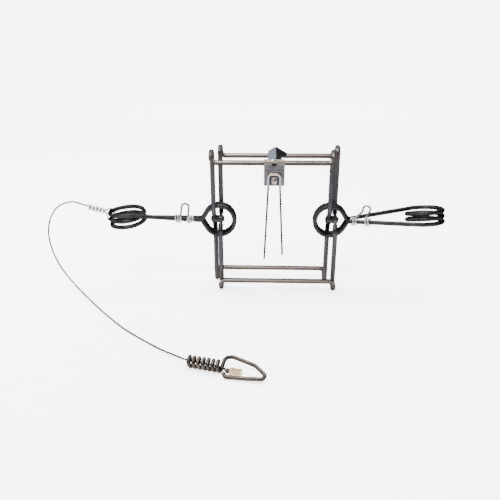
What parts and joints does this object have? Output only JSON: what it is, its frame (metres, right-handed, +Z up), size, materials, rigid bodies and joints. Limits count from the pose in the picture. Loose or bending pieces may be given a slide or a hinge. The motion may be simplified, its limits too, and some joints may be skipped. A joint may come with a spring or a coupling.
{
  "type": "body grip trap",
  "caption": "Double-spring body grip trap shown set, with hinged square jaws, a trigger and dog, safety hooks and a cable with a swivelling anchor loop.",
  "frame": {"origin": "on the ground, midway between the two jaw pivots", "axes": "+X along the pivots towards the spring without the cable, -Y towards the front where the trigger hangs, +Z up"},
  "size_m": [0.6397, 0.3128, 0.2339],
  "materials": {
    "jaw_steel": "worn dark jaw rod, blue-grey with brown wear on the strike bars",
    "spring_steel": "near-black blued spring wire",
    "plate_steel": "brown-grey pressed sheet",
    "dog_steel": "blue-grey pressed sheet",
    "galvanised": "bright galvanised steel",
    "trigger_wire": "grey-brown hard wire",
    "cable_steel": "stranded steel cable",
    "ferrule": "pressed aluminium sleeve",
    "stop": "light golden pressed stop",
    "anchor_steel": "dark brown-grey wire"
  },
  "bodies": {
    "left_coil": {"spring_left_coil": "spring_steel", "cable_eye": "cable_steel", "cable_ferrule": "ferrule", "anchor_cable": "cable_steel", "cable_collar": "anchor_steel", "cable_stop": "stop"},
    "left_front_arm": {"spring_left_front_arm": "spring_steel"},
    "left_rear_arm": {"spring_left_rear_arm": "spring_steel"},
    "left_pivot": {"pivot_rivet_left": "galvanised", "pivot_washer_left": "galvanised"},
    "front_jaw": {"jaw_front": "jaw_steel"},
    "rear_jaw": {"jaw_rear": "jaw_steel"},
    "trigger": {"trigger_plate": "plate_steel", "trigger_keeper": "plate_steel", "trigger_wire": "trigger_wire", "trigger_rivet": "plate_steel"},
    "dog": {"dog": "dog_steel"},
    "right_pivot": {"pivot_rivet_right": "galvanised", "pivot_washer_right": "galvanised"},
    "right_coil": {"spring_right_coil": "spring_steel"},
    "right_front_arm": {"spring_right_front_arm": "spring_steel"},
    "right_rear_arm": {"spring_right_rear_arm": "spring_steel"},
    "left_hook": {"safety_hook_left": "galvanised"},
    "right_hook": {"safety_hook_right": "galvanised"},
    "anchor": {"anchor_loop": "anchor_steel"}
  },
  "joints": [
    {"name": "left_front_arm_spread", "type": "hinge", "parent": "left_coil", "child": "left_front_arm", "pos_m": [-0.24, 0, 0.11895], "axis": [0, 0, -1], "range_deg": [0, 28.6], "deforming": ["spring_left_coil", "spring_left_front_arm"]},
    {"name": "left_rear_arm_spread", "type": "hinge", "parent": "left_coil", "child": "left_rear_arm", "pos_m": [-0.24, 0, 0.11895], "axis": [0, 0, 1], "range_deg": [0, 28.6], "deforming": ["spring_left_rear_arm"]},
    {"name": "left_pivot_draw", "type": "slide", "parent": "left_coil", "child": "left_pivot", "axis": [-1, 0, 0], "range_m": [0, 0.02032]},
    {"name": "jaw_swing", "type": "hinge", "parent": "left_pivot", "child": "front_jaw", "pos_m": [-0.0925, 0, 0.11695], "axis": [1, 0, 0], "range_deg": [0, 71.5]},
    {"name": "rear_jaw_swing", "type": "hinge", "parent": "left_pivot", "child": "rear_jaw", "pos_m": [-0.0925, 0, 0.11695], "axis": [-1, 0, 0], "range_deg": [0, 71.5]},
    {"name": "right_pivot_turn", "type": "hinge", "parent": "front_jaw", "child": "right_pivot", "pos_m": [0.0925, 0, 0.11695], "axis": [-1, 0, 0], "range_deg": [0, 71.5]},
    {"name": "right_coil_draw", "type": "slide", "parent": "right_pivot", "child": "right_coil", "axis": [-1, 0, 0], "range_m": [0, 0.02032]},
    {"name": "right_front_arm_spread", "type": "hinge", "parent": "right_coil", "child": "right_front_arm", "pos_m": [0.24, 0, 0.12495], "axis": [0, 0, 1], "range_deg": [0, 28.6], "deforming": ["spring_right_coil", "spring_right_front_arm"]},
    {"name": "right_rear_arm_spread", "type": "hinge", "parent": "right_coil", "child": "right_rear_arm", "pos_m": [0.24, 0, 0.12495], "axis": [0, 0, -1], "range_deg": [0, 28.6], "deforming": ["spring_right_rear_arm"]},
    {"name": "trigger_swing", "type": "hinge", "parent": "front_jaw", "child": "trigger", "pos_m": [-0.0018, -0.02665, 0.21495], "axis": [1, 0, 0], "range_deg": [-45, 50]},
    {"name": "dog_lift", "type": "hinge", "parent": "rear_jaw", "child": "dog", "pos_m": [-0.0008, 0.02665, 0.21495], "axis": [-1, 0, 0], "range_deg": [0, 28.6]},
    {"name": "left_hook_turn", "type": "hinge", "parent": "left_front_arm", "child": "left_hook", "pos_m": [-0.1465, -0.00997, 0.11892], "axis": [-0.97, -0.2075, 0.1269], "range_deg": [-96, 91]},
    {"name": "right_hook_turn", "type": "hinge", "parent": "right_front_arm", "child": "right_hook", "pos_m": [0.1375, -0.00821, 0.11586], "axis": [-0.9755, 0.2172, -0.0347], "range_deg": [-141, 19]},
    {"name": "anchor_swivel", "type": "hinge", "parent": "left_coil", "child": "anchor", "pos_m": [-0.111, -0.2468, 0.0083], "axis": [0.971, -0.239, 0], "continuous": true}
  ],
  "couplings": [
    {"joint": "left_front_arm_spread", "follows": "jaw_swing", "ratio": 0.4},
    {"joint": "left_rear_arm_spread", "follows": "jaw_swing", "ratio": 0.4},
    {"joint": "left_pivot_draw", "follows": "jaw_swing", "m_per_rad": 0.01628},
    {"joint": "rear_jaw_swing", "follows": "jaw_swing", "ratio": 1},
    {"joint": "right_pivot_turn", "follows": "jaw_swing", "ratio": 1},
    {"joint": "right_coil_draw", "follows": "jaw_swing", "m_per_rad": 0.01628},
    {"joint": "right_front_arm_spread", "follows": "jaw_swing", "ratio": 0.4},
    {"joint": "right_rear_arm_spread", "follows": "jaw_swing", "ratio": 0.4},
    {"joint": "dog_lift", "follows": "jaw_swing", "ratio": 0.4}
  ]
}
